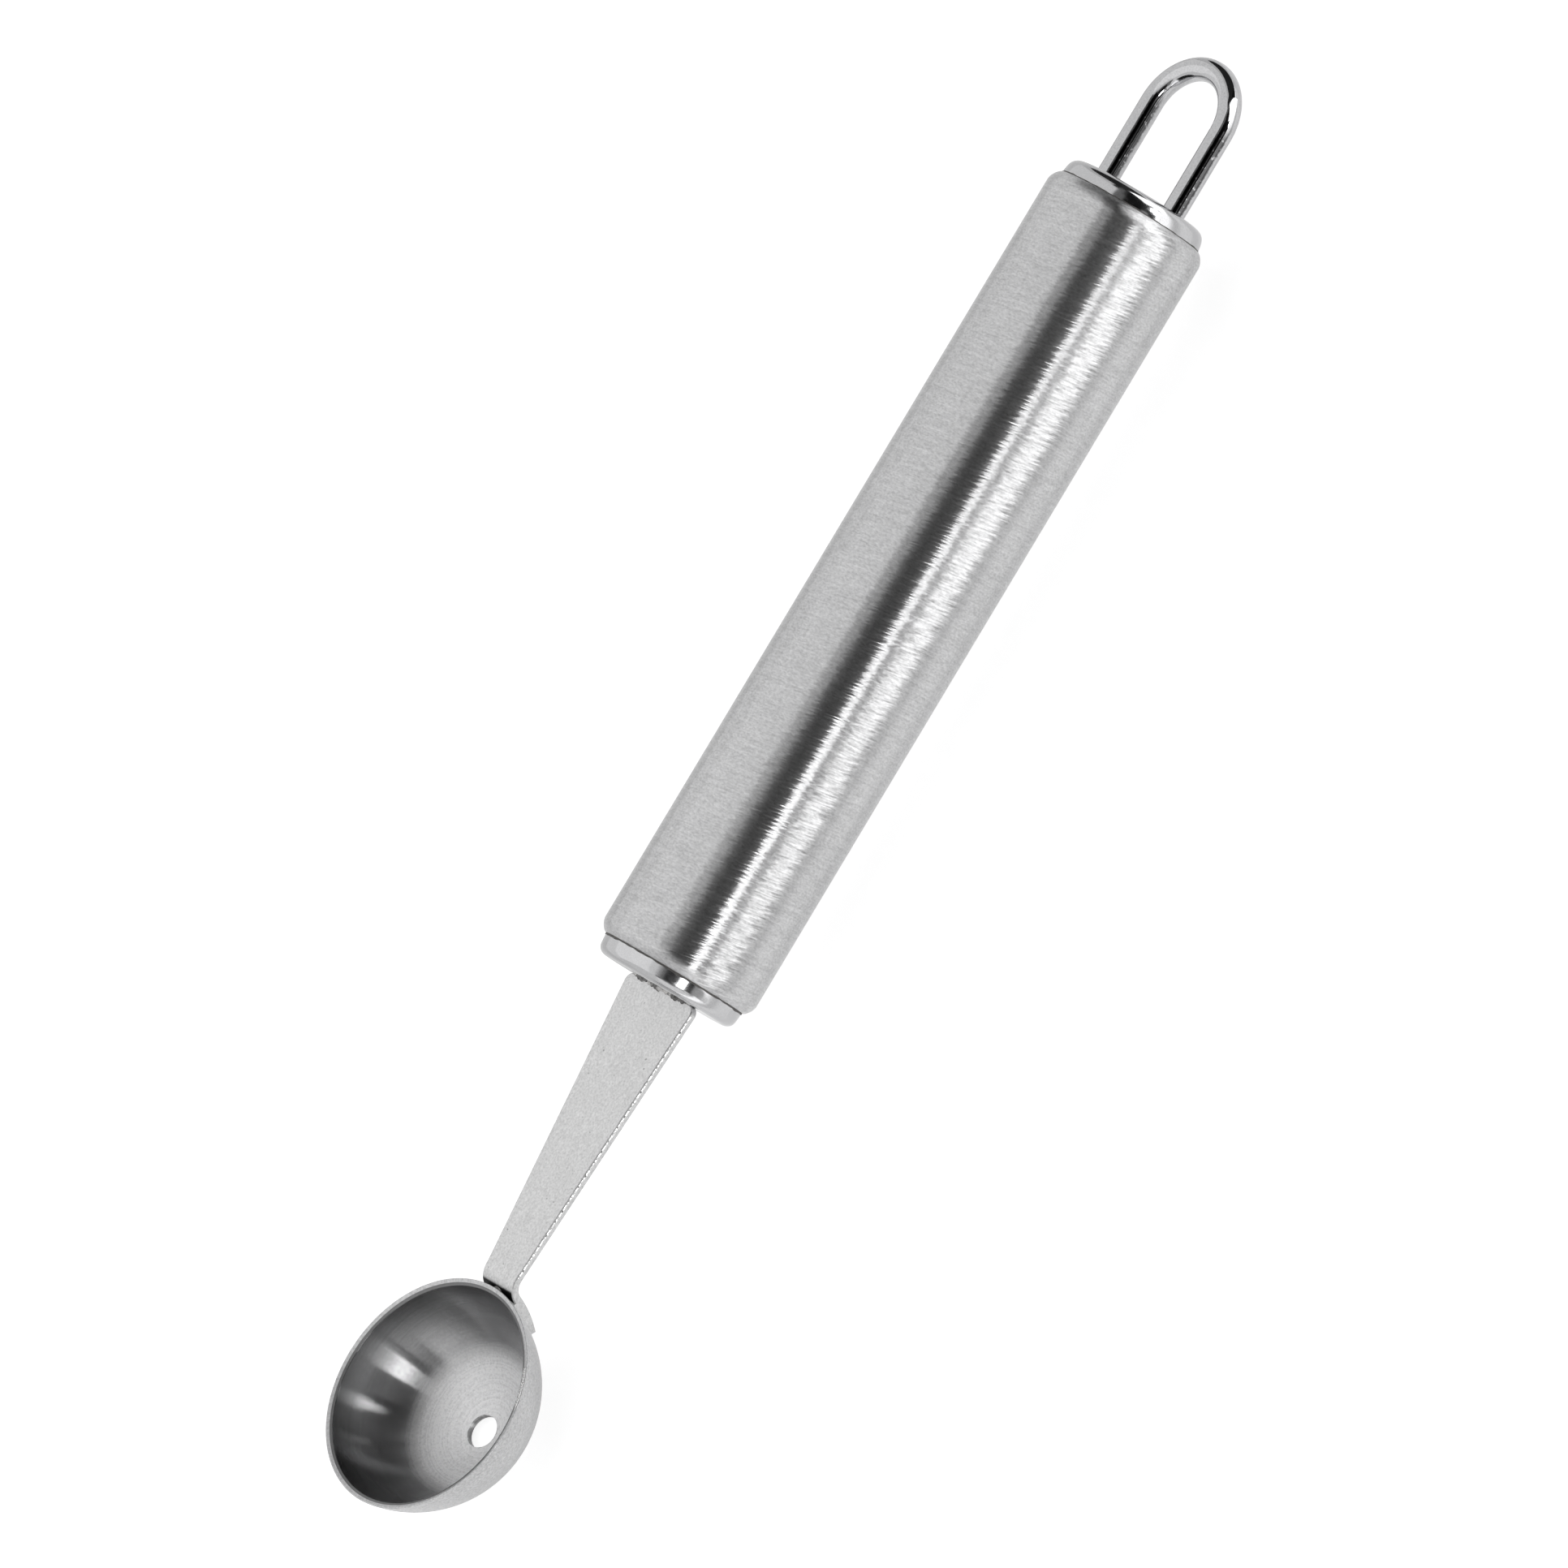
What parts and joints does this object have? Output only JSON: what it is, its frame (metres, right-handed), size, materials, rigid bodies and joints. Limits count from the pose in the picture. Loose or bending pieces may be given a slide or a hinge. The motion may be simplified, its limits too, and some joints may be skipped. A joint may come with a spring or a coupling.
{
  "type": "melon baller",
  "caption": "Steel melon baller: round scoop with a vent hole, tapered flat shank, hollow tube handle and a wire loop to hang it by.",
  "frame": {"origin": "under the middle of the whole length, on the handle's centre plane, level with the bottom of the scoop", "axes": "+X along the handle axis towards the hanging loop, +Y across the handle, +Z out of the scoop's opening"},
  "size_m": [0.1902, 0.0284, 0.0228],
  "materials": {
    "scoop_steel": "stainless steel, spun with faint rings inside the bowl and satin outside",
    "shank_steel": "stainless steel strip, matt tumbled finish with broken edges",
    "brushed_steel": "stainless steel tube, brushed round the handle",
    "polished_steel": "polished stainless steel",
    "wire_steel": "polished stainless steel wire",
    "weld_metal": "rough weld and solder, slightly darkened"
  },
  "bodies": {
    "root": {"scoop": "scoop_steel", "scoop_spot_welds": "weld_metal", "shank": "shank_steel", "shank_weld_bead": "weld_metal", "front_cap": "polished_steel", "front_cap_bond": "weld_metal", "handle_tube": "brushed_steel", "rear_cap": "polished_steel", "rear_cap_bond": "weld_metal", "hanging_loop": "wire_steel", "hanging_loop_welds": "weld_metal"}
  },
  "joints": []
}
